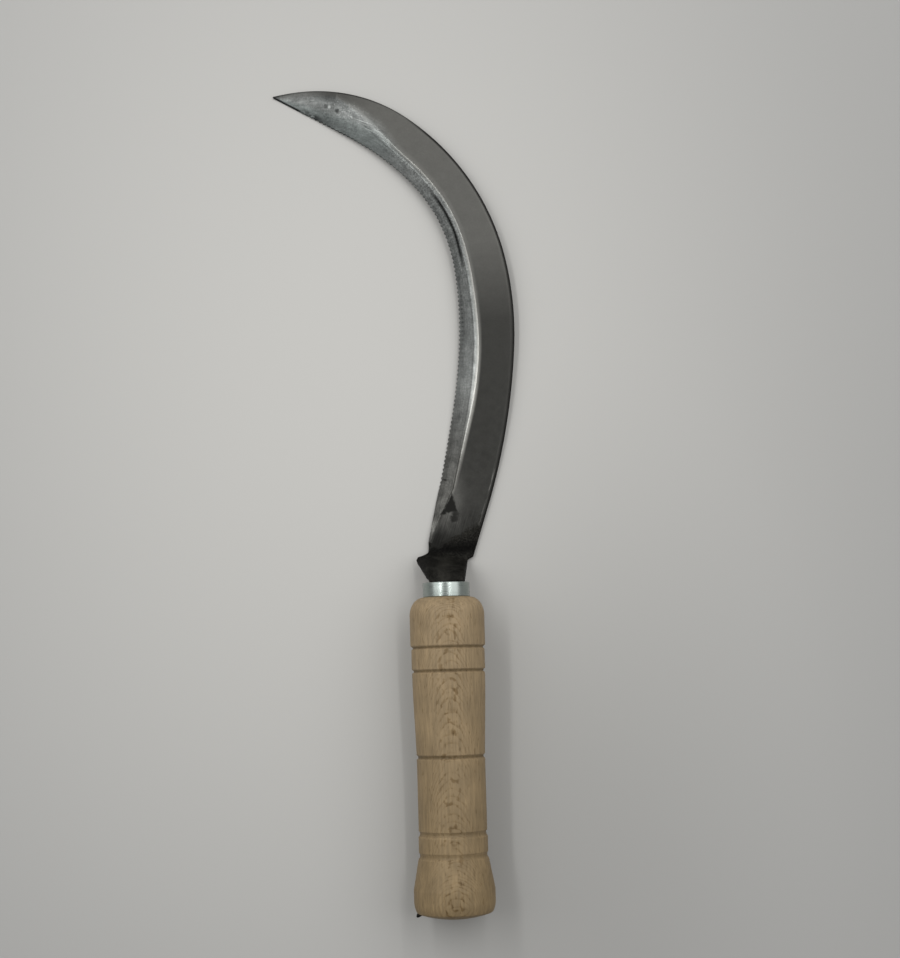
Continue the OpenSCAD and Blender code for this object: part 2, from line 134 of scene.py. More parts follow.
def turned(radius, along):
    """Points of a profile turned round the handle's axis: radius times cosine and sine of the angle."""
    angle = np.arange(TURNS) * 2 * np.pi / TURNS
    x = AXIS_X + radius[:, None] * np.cos(angle)
    z = AXIS_Z + radius[:, None] * np.sin(angle)
    y = SHOULDER_Y + along[:, None] + 0 * angle
    return np.stack([x, y, z], axis=-1).reshape(-1, 3)


def new_material(name):
    """A new material, its node tree and its Principled shader."""
    material = bpy.data.materials.new(name)
    material.use_nodes = True
    tree = material.node_tree
    shader = tree.nodes["Principled BSDF"]
    return material, tree, shader


def add_node(tree, kind, links=None, **values):
    """A node of that kind. values sets its properties, and links joins or sets its inputs by name or place."""
    node = tree.nodes.new(kind)
    for key, value in values.items():
        setattr(node, key, value)
    for key, value in (links or {}).items():
        if isinstance(value, bpy.types.NodeSocket):
            tree.links.new(value, node.inputs[key])
        else:
            node.inputs[key].default_value = value
    return node


def ramp(tree, value, stops):
    """A colour ramp through (place, colour) stops, with grey given as one number."""
    node = add_node(tree, "ShaderNodeValToRGB", {"Fac": value})
    points = node.color_ramp.elements
    while len(points) < len(stops):
        points.new(0.5)
    for point, (place, colour) in zip(points, stops):
        point.position = place
        point.color = (*colour, 1) if isinstance(colour, tuple) else (colour, colour, colour, 1)
    return node.outputs["Color"]


def wood_grain():
    """Group: growth rings and pores of a blank. A ring is a cylinder round a far pith that leans a little
    from the handle's axis, so the rings stack up as short arcs along the top and run straight down the
    sides. The pores are short dark flecks, most of them on the ring lines, and where the surface cuts the
    rings flat they run together into brown marks."""
    group = bpy.data.node_groups.new("wood_grain", "ShaderNodeTree")
    face = group.interface
    face.new_socket("Ring spacing", in_out="INPUT", socket_type="NodeSocketFloat").default_value = 0.0006
    face.new_socket("Pith depth", in_out="INPUT", socket_type="NodeSocketFloat").default_value = 0.060
    face.new_socket("Pith slope", in_out="INPUT", socket_type="NodeSocketFloat").default_value = -0.17
    for label in ("Ring", "Fleck", "Mark", "Fibre"):
        face.new_socket(label, in_out="OUTPUT", socket_type="NodeSocketFloat")
    given = group.nodes.new("NodeGroupInput")
    result = group.nodes.new("NodeGroupOutput")
    place = add_node(group, "ShaderNodeTexCoord").outputs["Object"]
    centred = add_node(group, "ShaderNodeMapping", {
        "Vector": place, "Location": (-AXIS_X * MM, 0, -AXIS_Z * MM)}).outputs["Vector"]
    sway = add_node(group, "ShaderNodeMapping", {
        "Vector": centred, "Scale": (50, 15, 50)}).outputs["Vector"]
    drift = add_node(group, "ShaderNodeTexNoise", {"Vector": sway, "Scale": 1.0, "Detail": 3.0})
    parts = add_node(group, "ShaderNodeSeparateXYZ", {"Vector": centred})
    deep = add_node(group, "ShaderNodeMath", {0: parts.outputs["Z"], 1: given.outputs["Pith depth"]},
                    operation="ADD").outputs[0]
    deep = add_node(group, "ShaderNodeMath", {0: parts.outputs["Y"], 1: given.outputs["Pith slope"], 2: deep},
                    operation="MULTIPLY_ADD").outputs[0]
    flat = add_node(group, "ShaderNodeCombineXYZ", {"X": parts.outputs["X"], "Y": deep}).outputs["Vector"]
    radius = add_node(group, "ShaderNodeVectorMath", {0: flat}, operation="LENGTH").outputs["Value"]
    waves = add_node(group, "ShaderNodeMapping", {
        "Vector": centred, "Scale": (110, 400, 110)}).outputs["Vector"]
    ripple = add_node(group, "ShaderNodeTexNoise", {"Vector": waves, "Scale": 1.0, "Detail": 2.0})
    wander = add_node(group, "ShaderNodeMath", {0: drift.outputs["Fac"], 1: 0.0016, 2: radius},
                      operation="MULTIPLY_ADD").outputs[0]
    wander = add_node(group, "ShaderNodeMath", {0: ripple.outputs["Fac"], 1: 0.0007, 2: wander},
                      operation="MULTIPLY_ADD").outputs[0]
    count = add_node(group, "ShaderNodeMath", {0: wander, 1: given.outputs["Ring spacing"]},
                     operation="DIVIDE").outputs[0]
    within = add_node(group, "ShaderNodeMath", {0: count}, operation="FRACT").outputs[0]
    ring_line = ramp(group, within, [(0.0, 0.0), (0.55, 0.15), (0.85, 1.0), (1.0, 0.0)])
    shown = add_node(group, "ShaderNodeTexNoise", {"Vector": sway, "Scale": 2.2, "Detail": 1.0})
    seen = ramp(group, shown.outputs["Fac"], [(0.38, 0.25), (0.6, 1.0)])
    ring = add_node(group, "ShaderNodeMath", {0: ring_line, 1: seen}, operation="MULTIPLY").outputs[0]
    long = add_node(group, "ShaderNodeMapping", {
        "Vector": centred, "Scale": (1500, 300, 1500)}).outputs["Vector"]
    dash = add_node(group, "ShaderNodeTexNoise", {"Vector": long, "Scale": 1.0, "Detail": 1.5})
    crowded = add_node(group, "ShaderNodeMath", {0: ring, 1: 0.11, 2: dash.outputs["Fac"]},
                       operation="MULTIPLY_ADD").outputs[0]
    fleck = ramp(group, crowded, [(0.63, 0.0), (0.76, 1.0)])
    off_axis = add_node(group, "ShaderNodeMath", {0: parts.outputs["X"]}, operation="ABSOLUTE").outputs[0]
    strip = add_node(group, "ShaderNodeMapRange", {"Value": off_axis, "From Min": 0.0075, "From Max": 0.002},
                     interpolation_type="SMOOTHSTEP").outputs["Result"]
    dots = add_node(group, "ShaderNodeMapping", {
        "Vector": centred, "Scale": (480, 300, 480)}).outputs["Vector"]
    blot = add_node(group, "ShaderNodeTexNoise", {"Vector": dots, "Scale": 1.0, "Detail": 1.0})
    on_ring = add_node(group, "ShaderNodeMath", {0: ring_line, 1: 0.12, 2: blot.outputs["Fac"]},
                       operation="MULTIPLY_ADD").outputs[0]
    dark = ramp(group, on_ring, [(0.62, 0.0), (0.72, 1.0)])
    mark = add_node(group, "ShaderNodeMath", {0: dark, 1: strip}, operation="MULTIPLY").outputs[0]
    group.links.new(mark, result.inputs["Mark"])
    thread = add_node(group, "ShaderNodeMapping", {
        "Vector": centred, "Scale": (1000, 90, 1000)}).outputs["Vector"]
    fibre = add_node(group, "ShaderNodeTexNoise", {"Vector": thread, "Scale": 1.0, "Detail": 2.0})
    group.links.new(ring, result.inputs["Ring"])
    group.links.new(fleck, result.inputs["Fleck"])
    group.links.new(fibre.outputs["Fac"], result.inputs["Fibre"])
    return group


def tint(tree, factor, colour, shade):
    """Multiplies a colour by a shade, as strongly as factor says."""
    return add_node(tree, "ShaderNodeMix", {"Factor": factor, "A": colour, "B": shade},
                    data_type="RGBA", blend_type="MULTIPLY").outputs["Result"]


def beech():
    """Bare turned beech: tan, with painted shade that darkens it towards the butt, with rings, dark flecks, and
    dirt and painted shade in the grooves.
    """
    material, tree, shader = new_material("beech")
    grain = add_node(tree, "ShaderNodeGroup", node_tree=wood_grain())
    place = add_node(tree, "ShaderNodeTexCoord").outputs["Object"]
    along = add_node(tree, "ShaderNodeSeparateXYZ", {"Vector": place}).outputs["Y"]
    # Painted shade: the tan darkens towards the butt, standing in for the lamps' light falling off there.
    back = add_node(tree, "ShaderNodeMapRange", {
        "Value": along, "From Min": SHOULDER_Y * MM, "From Max": (SHOULDER_Y - HANDLE_LEN) * MM})
    tan = add_node(tree, "ShaderNodeMix", {
        "Factor": back.outputs["Result"], "A": (0.275, 0.203, 0.117, 1), "B": (0.207, 0.148, 0.076, 1)},
        data_type="RGBA").outputs["Result"]
    broad = add_node(tree, "ShaderNodeTexNoise", {"Vector": place, "Scale": 90.0, "Detail": 4.0})
    colour = tint(tree, 1.0, tan, ramp(tree, broad.outputs["Fac"], [(0.3, 0.86), (0.7, 1.08)]))
    colour = tint(tree, 1.0, colour, ramp(tree, grain.outputs["Fibre"], [(0.32, 0.85), (0.68, 1.11)]))
    colour = tint(tree, grain.outputs["Ring"], colour, (0.86, 0.83, 0.78, 1))
    colour = tint(tree, grain.outputs["Fleck"], colour, (0.7, 0.66, 0.58, 1))
    colour = tint(tree, grain.outputs["Mark"], colour, (0.66, 0.6, 0.49, 1))
    # Dirt and painted shade: each groove is darker at its bottom.
    groove = add_node(tree, "ShaderNodeAttribute", attribute_name="groove").outputs["Fac"]
    colour = tint(tree, groove, colour, (0.5, 0.47, 0.4, 1))
    tree.links.new(colour, shader.inputs["Base Color"])
    rough = ramp(tree, grain.outputs["Ring"], [(0.0, 0.6), (1.0, 0.74)])
    tree.links.new(rough, shader.inputs["Roughness"])
    shader.inputs["Specular IOR Level"].default_value = 0.3
    raised = add_node(tree, "ShaderNodeMath", {0: grain.outputs["Fleck"], 1: grain.outputs["Fibre"]},
                      operation="ADD").outputs[0]
    bump = add_node(tree, "ShaderNodeBump", {"Strength": 0.3, "Distance": 0.0001, "Height": raised},
                    invert=True)
    tree.links.new(bump.outputs["Normal"], shader.inputs["Normal"])
    return material


outer = np.concatenate([
    np.linspace(0, SHOULDER_LEN, 40) ** 2 / SHOULDER_LEN,
    np.linspace(SHOULDER_LEN, RIM_END, 520)[1:]])
outer_r = handle_radius(outer)
dome_rise = HANDLE_LEN - RIM_END - CORNER_DROP
dome_edge = outer_r[-1] - CORNER_IN
dome_round = (dome_edge ** 2 + dome_rise ** 2) / (2 * dome_rise)
dome_r = np.linspace(dome_edge, BORE_BUTT, 60)
dome = HANDLE_LEN - dome_round + np.sqrt(dome_round ** 2 - dome_r ** 2)
bore = np.linspace(HANDLE_LEN - 0.1, -FERRULE_LEN, 12)
bore_r = np.linspace(BORE_BUTT, BORE_FRONT, 12)
profile_r = np.concatenate([[TENON_R - 0.5, TENON_R, TENON_R], outer_r, dome_r, bore_r])
profile_depth = np.concatenate([[-FERRULE_LEN, 0.5 - FERRULE_LEN, -0.01], outer, dome, bore])
handle_points = turned(profile_r, -profile_depth)
# The clinched end is hammered into the butt. Its bed is cut to a curve of large radius, towards one side.
CLINCH_BOW, CLINCH_PROUD, CLINCH_TURN = 160.0, 0.4, np.radians(10)
BED_HALF, BED_DEPTH, STAIN = 2.15, 2.0, 1.2
TIP_START, TIP_RUN = 13.4, 3.2


def hammered(x):
    """How much deeper than its plain curve the clinched end lies at x from the axis: as the dome falls
    away from the curve, and back to nothing at the tip."""
    x = np.clip(x, 0, TIP_START + TIP_RUN)
    return (np.sqrt(CLINCH_BOW ** 2 - x ** 2) - CLINCH_BOW - np.sqrt(dome_round ** 2 - x ** 2) + dome_round) * (
        1 - ease((x - TIP_START) / TIP_RUN))


side_x, side_z = handle_points[:, 0] - AXIS_X, handle_points[:, 2] - AXIS_Z
outwards = -side_x * np.cos(CLINCH_TURN) - side_z * np.sin(CLINCH_TURN)
aside = np.abs(side_z * np.cos(CLINCH_TURN) - side_x * np.sin(CLINCH_TURN))
bed_y = SHOULDER_Y + CLINCH_BOW - HANDLE_LEN - CLINCH_PROUD - np.sqrt(
    (CLINCH_BOW - BED_DEPTH) ** 2 - np.minimum(outwards, FLARE_R) ** 2) + hammered(outwards)
butt_end = (outwards > 0) & (handle_points[:, 1] < SHOULDER_Y - RIM_END + 1.5)
in_bed = butt_end & (aside < BED_HALF)
handle_points[:, 1] = np.where(in_bed, np.maximum(handle_points[:, 1], bed_y), handle_points[:, 1])
stain = np.where(butt_end, 0.8 * ease(1 - (aside - BED_HALF) / STAIN), 0)
# The groove attribute holds the grooves' dirt and painted shade, and the stain beside the clinched end.
handle = put_mesh("turned_handle", handle_points,
                  grid_faces(len(profile_r), TURNS, True)[:, ::-1], beech(),
                  {"groove": np.maximum(np.repeat(groove_dirt_and_shade(profile_depth), TURNS), stain)})
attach(handle, "root")
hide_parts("handle")

# Ferrule: a short ring of steel tube, bright zinc plated, with both mouths rolled smooth.
# It is pushed over the front of the handle and keeps the wood from splitting.
FERRULE_WALL = 1.2
ROLL = 0.3


def zinc():
    """Bright zinc plate: pale, a little green, with fine drawing marks round the ring."""
    material, tree, shader = new_material("zinc_plate")
    place = add_node(tree, "ShaderNodeTexCoord").outputs["Object"]
    drawn = add_node(tree, "ShaderNodeMapping", {"Vector": place, "Scale": (60, 2600, 60)}).outputs["Vector"]
    marks = add_node(tree, "ShaderNodeTexNoise", {"Vector": drawn, "Scale": 1.0, "Detail": 3.0})
    clouds = add_node(tree, "ShaderNodeTexNoise", {"Vector": place, "Scale": 260.0, "Detail": 3.0})
    colour = ramp(tree, clouds.outputs["Fac"], [(0.3, (0.3, 0.34, 0.32)), (0.7, (0.365, 0.4, 0.382))])
    tree.links.new(colour, shader.inputs["Base Color"])
    rough = ramp(tree, marks.outputs["Fac"], [(0.3, 0.25), (0.75, 0.36)])
    tree.links.new(rough, shader.inputs["Roughness"])
    shader.inputs["Metallic"].default_value = 1.0
    bump = add_node(tree, "ShaderNodeBump", {"Strength": 0.15, "Distance": 0.00003,
                                             "Height": marks.outputs["Fac"]})
    tree.links.new(bump.outputs["Normal"], shader.inputs["Normal"])
    return material


lip = np.linspace(0, np.pi / 2, 8)
ring_r = np.concatenate([
    FERRULE_R - ROLL * (1 - np.sin(lip)), FERRULE_R - ROLL * (1 - np.cos(lip)),
    [FERRULE_R - FERRULE_WALL + 0.2, FERRULE_R - FERRULE_WALL, FERRULE_R - FERRULE_WALL,
     FERRULE_R - FERRULE_WALL + 0.2]])
ring_y = np.concatenate([
    ROLL * (1 - np.cos(lip)), FERRULE_LEN - ROLL * (1 - np.sin(lip)),
    [FERRULE_LEN, FERRULE_LEN - 0.2, 0.2, 0.0]])
ferrule = put_mesh("zinc_ferrule", turned(ring_r, ring_y), grid_faces(len(ring_r), TURNS, True), zinc())
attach(ferrule, "root")
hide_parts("ferrule")

# Blade: one forging of dark steel. The crescent has a flat band along its back, a rounded ridge and a
# ground, toothed bevel. The neck is cranked up to the handle, and the tang runs through the wood and
# is bent over on the butt. Rows of points run from the tang's tip to the point of the blade.
HEEL_X, NECK_RUN, HEEL_LEAN = 12.8, 12.6, 18.3
HEEL_RUN = 22.5
ARCS = ((298.0, 14.5), (150.0, 15.2), (113.8, 42.8), (73.6, 49.8))
HEEL_W, BELLY_W, BOW_W, TIP_W = 21.3, 25.4, 22.3, 0.6
HEEL_SWELL, BELLY_END, BOW_START, POINT_LEN, FULLNESS = 60.0, 102.0, 186.0, 100.0, 4.2
BLADE_T, TIP_T, THIN_LEN = 2.2, 1.1, 70.0
BACK_ROUND, STEP_W, STEP_H, EDGE_T = 1.0, 2.4, 0.8, 0.3
BEVEL_W, BEVEL_SWELL, BEVEL_PEAK, RUNOUT = 6.3, 2.0, 88.0, 27.0
NOSE_START, NOSE_END = 79.0, 23.0
NOSE_RIDGE = 212.0
KEEN_START, KEEN_RUN = 262.0, 14.0
PITCH, TOOTH_DEPTH, TEETH_START, TEETH_END = 2.0, 0.6, 22.0, 12.0
ARCH_H, ARCH_START = 4.0, 30.0

knots = np.cumsum([0.0, HEEL_RUN] + [r * np.radians(turn) for r, turn in ARCS])
turns = np.cumsum([0.0, 0.0] + [turn for r, turn in ARCS])
BACK_LEN = knots[-1]
table_s = np.linspace(0, BACK_LEN, 6001)
table_h = np.radians(90 - HEEL_LEAN + np.interp(table_s, knots, turns))
step = table_s[1]
table_x = HEEL_X + np.concatenate([[0], np.cumsum((np.cos(table_h[1:]) + np.cos(table_h[:-1])) * step / 2)])
table_y = FERRULE_LEN + NECK_RUN + np.concatenate(
    [[0], np.cumsum((np.sin(table_h[1:]) + np.sin(table_h[:-1])) * step / 2)])


def blade_width(s):
    """Width square to the back: it swells from the heel, falls to the bow and closes to the point."""
    body = np.where(s < HEEL_SWELL, HEEL_W + (BELLY_W - HEEL_W) * np.sin(np.pi / 2 * s / HEEL_SWELL),
                    BELLY_W + (BOW_W - BELLY_W) * ease((s - BELLY_END) / (BOW_START - BELLY_END)))
    left = np.clip((BACK_LEN - s) / POINT_LEN, 0, 1)
    return TIP_W + (body - TIP_W) * (1 - (1 - left) ** FULLNESS)


def blade_thickness(s):
    """Thickness of the flat band, thinning in a quarter wave over the last stretch."""
    return TIP_T + (BLADE_T - TIP_T) * np.sin(np.pi / 2 * np.clip((BACK_LEN - s) / THIN_LEN, 0, 1))


def arch(s):
    """Height of the underside: flat at the heel, then half a sine wave raised to 1.5, down to the point."""
    return ARCH_H * np.sin(np.pi * np.clip((s - ARCH_START) / (BACK_LEN - ARCH_START), 0, 1)) ** 1.5


def bevel_width(s):
    """Ridge to edge: steady, wider at the belly, spreading over the point and running out at the heel."""
    plain = BEVEL_W + BEVEL_SWELL * np.exp(-((s - BEVEL_PEAK) / 35) ** 2)
    spread = np.clip((NOSE_START - BACK_LEN + s) / (NOSE_START - NOSE_END), 0, 1) ** 2
    full = plain + (blade_width(s) - plain) * spread
    slim = np.minimum(1, blade_width(s) / 7.8)
    room = blade_width(s) - slim * (BACK_ROUND + STEP_W / 2 + 0.4)
    return np.minimum(0.6 + (full - 0.6) * np.clip(s / RUNOUT, 0, 1), room)


def tooth_marks(s):
    """How strongly the file's cuts show behind the teeth: most at the belly, least at the heel and nose."""
    return 0.1 + 0.9 * np.exp(-((s - 108) / 16) ** 2) + 0.4 * np.exp(-((s - 150) / 28) ** 2)


UNDER = np.linspace(0, 1, 8)
BACK = np.linspace(0, 1, 9)[1:-1]
FLAT = np.linspace(0, 1, 12)
STEP = np.linspace(0, 1, 15)[1:-1]
BEVEL = np.linspace(0, 1, 18)
EDGE = np.array([0.5])
COLUMNS = len(UNDER) + len(BACK) + len(FLAT) + len(STEP) + len(BEVEL) + len(EDGE)


def blade_sections(s, wave):
    """Sections of the blade at each s, as across and height for every column: flat underside, half an
    ellipse round the back, level band, an S-shaped step, a hollow bevel, and the edge cut into teeth.
    wave is 0 on a tooth's crest and 1 in a gullet. Also gives how far each point lies past the ridge."""
    w, t, b = (f(s)[:, None] for f in (blade_width, blade_thickness, bevel_width))
    s, wave = s[:, None], wave[:, None]
    ground = np.clip(s / RUNOUT, 0, 1)
    slim = np.minimum(1, w / 7.8)
    crisp = 0.4 + 0.6 * ease((s - 35) / 60)
    worn_off = ease((s - NOSE_RIDGE) / 30)
    half = np.maximum(0.12, STEP_W / 2 * ground * crisp * (1 + 0.9 * worn_off)) * slim
    drop = STEP_H * ground * t / BLADE_T * (1 - 0.45 * worn_off)
    toothed = np.clip((s - TEETH_START) / 8, 0, 1) * np.clip((BACK_LEN - TEETH_END - s) / 8, 0, 1)
    cut = wave * TOOTH_DEPTH * toothed
    brow = w - b - half
    foot = w - b + half * 1.25
    edge_z = np.minimum(EDGE_T, t * 0.5) * ground + t * 0.8 * (1 - ground)
    r = BACK_ROUND * slim
    under = [(w - cut) + (r - (w - cut)) * UNDER, 0 * s + 0 * UNDER]
    back = [r * (1 - 0.97 * np.sin(np.pi * BACK)), t * ease(BACK)]
    flat = [r + (brow - r) * FLAT, t + 0 * FLAT]
    sloped = [brow + (foot - brow) * STEP, t - drop * ease(STEP ** 0.9)]
    x = foot + (w - cut - foot) * BEVEL
    share = (x - foot) / (w - foot)
    keen = 1 + 3.5 * ease((s - KEEN_START) / KEEN_RUN)
    line = (t - drop) + (edge_z - (t - drop)) * share ** keen
    hollow = 0.16 * ground * np.sin(np.pi * share) ** 1.5
    groove = 0.05 * wave * toothed * tooth_marks(s) * np.clip(1 - (w - cut - x) / 2.8, 0, 1)
    bevel = [x, np.maximum(line - hollow - groove * (1 - BEVEL * 0.5), 0.05)]
    edge = [w - cut + 0 * EDGE, bevel[1][:, -1:] * (1 - EDGE)]
    across = np.concatenate([p[0] for p in (under, back, flat, sloped, bevel, edge)], axis=1)
    height = np.concatenate([p[1] for p in (under, back, flat, sloped, bevel, edge)], axis=1)
    return across, height, across - (w - b)


def bar_sections(w, t, corner):
    """Sections of a bar w wide and t thick with rounded corners, with the same columns as the blade."""
    w, t, r = w[:, None], t[:, None], corner[:, None]
    top = np.concatenate([FLAT * 0.45, 0.45 + 0.2 * STEP, 0.65 + 0.35 * BEVEL])
    across = np.concatenate([
        w - r + (2 * r - w) * UNDER, r * (1 - np.sin(np.pi * BACK)), r + (w - 2 * r) * top,
        w + 0 * EDGE], axis=1)
    height = np.concatenate([0 * UNDER + 0 * t, t * ease(BACK), t + 0 * top, t / 2 + 0 * EDGE], axis=1)
    return across, height


def sweep(origin, left, up, across, height):
    """Puts each section on its frame: origin + across * left + height * up."""
    return origin[:, None] + across[..., None] * left[:, None] + height[..., None] * up[:, None]


# Rows of the crescent: eight to a tooth, evenly spaced along the cutting edge.
edge_share = 1 - blade_width(table_s) * np.gradient(table_h, table_s)
edge_run = np.concatenate([[0], np.cumsum((edge_share[1:] + edge_share[:-1]) * step / 2)])
TEETH_PER_STATION = 2
teeth = TEETH_PER_STATION * round(edge_run[-1] / PITCH / TEETH_PER_STATION)
ROWS_PER_TOOTH = 8
crescent_rows = teeth * ROWS_PER_TOOTH + 1
tooth_place = np.linspace(0, teeth, crescent_rows)
crescent_s = np.interp(tooth_place / teeth * edge_run[-1], edge_run, table_s)
wave = 1 - np.abs(2 * (tooth_place % 1) - 1)
across, height, past_ridge = blade_sections(crescent_s, wave)
heading = np.interp(crescent_s, table_s, table_h)
origin = np.stack([np.interp(crescent_s, table_s, table_x), np.interp(crescent_s, table_s, table_y),
                   arch(crescent_s)], axis=1)
left = np.stack([-np.sin(heading), np.cos(heading), 0 * heading], axis=1)
upright = np.array([[0.0, 0.0, 1.0]])
crescent = sweep(origin, left, np.repeat(upright, crescent_rows, axis=0), across, height)

# Rows of the neck: from the handle down to the heel, on two bends of one radius.
NECK_W, NECK_T, NECK_SHIFT, CRANK_R = 15.6, 6.0, 0.5, 5.0
LOBE_OUT, LOBE_AT, NOTCH_IN, NOTCH_AT, NOTCH_LEN = 5.7, 0.37, 2.0, 0.03, 0.1
TANG_TOP = FERRULE_LEN + 0.1
heel_right = np.array([HEEL_X, FERRULE_LEN + NECK_RUN])
heel_left = heel_right + HEEL_W * left[0, :2]
rise = AXIS_Z - BLADE_T / 2
run = (heel_right[1] + heel_left[1]) / 2 - TANG_TOP
crank = np.arctan2(rise - 2 * CRANK_R, run) + np.arcsin(2 * CRANK_R / np.hypot(run, rise - 2 * CRANK_R))
bend_run = CRANK_R * np.sin(crank)


def crank_slope(x):
    """Slope of the neck at x from the heel: it grows round one bend, holds, and falls round the other."""
    return np.arcsin(np.clip(np.minimum(x, run - x) / CRANK_R, 0, np.sin(crank)))


def crank_height(x):
    """Height of the neck's middle above the heel's: two arcs joined by a straight slope."""
    foot = CRANK_R * (1 - np.cos(crank_slope(x)))
    middle = CRANK_R * (1 - np.cos(crank)) + (x - bend_run) * np.tan(crank)
    return np.select([x < bend_run, x > run - bend_run], [foot, rise - foot], middle)


q = np.linspace(1, 0, 90)[:-1]
lobe = np.where(q < LOBE_AT, (q / LOBE_AT) ** 4, np.clip((1 - q) / (1 - LOBE_AT), 0, 1) ** 1.3)
notch = np.clip((q - NOTCH_AT) / NOTCH_LEN, 0, 1) * np.minimum(1, (1 - q) / (1 - NOTCH_AT - NOTCH_LEN))
left_end = np.stack([
    heel_left[0] + (NECK_SHIFT - NECK_W / 2 - heel_left[0]) * q - LOBE_OUT * lobe,
    heel_left[1] + (TANG_TOP - heel_left[1]) * q ** 0.85], axis=1)
right_end = np.stack([
    heel_right[0] + (NECK_SHIFT + NECK_W / 2 - heel_right[0]) * q - NOTCH_IN * notch,
    heel_right[1] + (TANG_TOP - heel_right[1]) * q], axis=1)
span = left_end - right_end
neck_w = np.hypot(span[:, 0], span[:, 1])
neck_t = BLADE_T + (NECK_T - BLADE_T) * ease(q)
neck_left = np.stack([span[:, 0] / neck_w, span[:, 1] / neck_w, 0 * q], axis=1)
slope = crank_slope(q * run)
towards_blade = np.stack([neck_left[:, 1], -neck_left[:, 0], 0 * q], axis=1)
neck_up = np.sin(slope)[:, None] * towards_blade + np.cos(slope)[:, None] * upright
middle = np.stack([(left_end + right_end)[:, 0] / 2, (left_end + right_end)[:, 1] / 2,
                   BLADE_T / 2 + crank_height(q * run)], axis=1)
bar_across, bar_height = bar_sections(neck_w, neck_t, 0.5 + 0.4 * ease(q))
heel_across = across[0] / HEEL_W * neck_w[:, None]
heel_height = height[0] / BLADE_T * neck_t[:, None]
turned_bar = ease(q / 0.3)[:, None]
neck_across = heel_across + (bar_across - heel_across) * turned_bar
neck_height = heel_height + (bar_height - heel_height) * turned_bar
neck_origin = middle - neck_left * neck_w[:, None] / 2 - neck_up * neck_t[:, None] / 2
neck = sweep(neck_origin, neck_left, neck_up, neck_across, neck_height)

# Rows of the clinched end and the tang, on the handle's axis.
TANG_W, TANG_T, TANG_END_W, TANG_END_T = 8.0, 5.2, 1.9, 4.0
CLINCH_R, CLINCH_REACH, CLINCH_TIP_W, CLINCH_TIP_T, CLINCH_NOSE = 1.6, 17.2, 1.8, 3.0, 0.7
mid_r = CLINCH_R + TANG_END_W / 2
clinch_middle = CLINCH_BOW - HANDLE_LEN - CLINCH_PROUD
bend_reach = CLINCH_BOW - TANG_END_W - CLINCH_R
bend_lean = np.arcsin(mid_r / bend_reach)
nose_out = CLINCH_NOSE * np.array([0, 0.12, 0.35, 0.65, 1.0])
tip_lean = np.arcsin((CLINCH_REACH - nose_out) / CLINCH_BOW)
f = np.linspace(0, 1, 25)[1:-1]
lean = np.concatenate([tip_lean, tip_lean[-1] + (bend_lean - tip_lean[-1]) * f])
f = np.concatenate([0 * nose_out, f])
blunt = np.concatenate([0.45 + 0.55 * np.sqrt(1 - (1 - nose_out / CLINCH_NOSE) ** 2), 1 + 0 * f[5:]])
clinch_w = (CLINCH_TIP_W + (TANG_END_W - CLINCH_TIP_W) * f)
reach = CLINCH_BOW - clinch_w / 2
clinch_w = clinch_w * blunt
clinch_t = (CLINCH_TIP_T + (TANG_END_T - CLINCH_TIP_T) * f) * blunt
turn = np.linspace(-bend_lean, np.pi / 2, 15)
bend_x = -bend_reach * np.sin(bend_lean) + mid_r * np.sin(turn)
bend_y = clinch_middle - bend_reach * np.cos(bend_lean) - mid_r * np.cos(turn)
tang_y = np.linspace(bend_y[-1], TANG_TOP, 22)[1:-1]
share = (tang_y + HANDLE_LEN) / (HANDLE_LEN + FERRULE_LEN)
rod_x = np.concatenate([-reach * np.sin(lean), bend_x, 0 * tang_y])
rod_y = np.concatenate([clinch_middle - reach * np.cos(lean) + hammered(reach * np.sin(lean)), bend_y, tang_y])
rod_heading = np.concatenate([-lean, turn, np.pi / 2 + 0 * tang_y])
rod_w = np.concatenate([clinch_w, TANG_END_W + 0 * turn, TANG_END_W + (TANG_W - TANG_END_W) * share])
rod_t = np.concatenate([clinch_t, TANG_END_T + 0 * turn, TANG_END_T + (TANG_T - TANG_END_T) * share])
rod_left = np.stack([-np.sin(rod_heading), np.cos(rod_heading), 0 * rod_x], axis=1)
rod_across, rod_height = bar_sections(rod_w, rod_t, np.minimum(0.4, rod_w * 0.25))
rod_origin = np.stack([rod_x, rod_y, AXIS_Z - rod_t / 2], axis=1) - rod_left * rod_w[:, None] / 2
rod = sweep(rod_origin, rod_left, np.repeat(upright, len(rod_x), axis=0), rod_across, rod_height)
# The tang twists a little on its way, from the clinched end back to level.
twist = CLINCH_TURN * (1 - np.clip((rod_y - bend_y[-1]) / (TANG_TOP - bend_y[-1]), 0, 1))[:, None]
off_x, off_z = rod[..., 0].copy(), rod[..., 2] - AXIS_Z
rod[..., 0] = off_x * np.cos(twist) - off_z * np.sin(twist)
rod[..., 2] = off_x * np.sin(twist) + off_z * np.cos(twist) + AXIS_Z


def calc(tree, operation, *values):
    """The result of one Math node, such as ADD or MULTIPLY."""
    return add_node(tree, "ShaderNodeMath", dict(enumerate(values)), operation=operation).outputs[0]


def fade(tree, value, start, end):
    """0 where value is start and 1 where it is end, with a smooth change between them."""
    return add_node(tree, "ShaderNodeMapRange", {"Value": value, "From Min": start, "From Max": end},
                    interpolation_type="SMOOTHSTEP").outputs["Result"]


def line(tree, value, middle, half):
    """1 where value is middle, falling smoothly to 0 at half to either side."""
    return fade(tree, calc(tree, "ABSOLUTE", calc(tree, "SUBTRACT", value, middle)), half, 0.0)


def blend(tree, factor, first, second):
    """A number that goes from first to second as factor goes from 0 to 1."""
    return add_node(tree, "ShaderNodeMix", {"Factor": factor, "A": first, "B": second}).outputs["Result"]


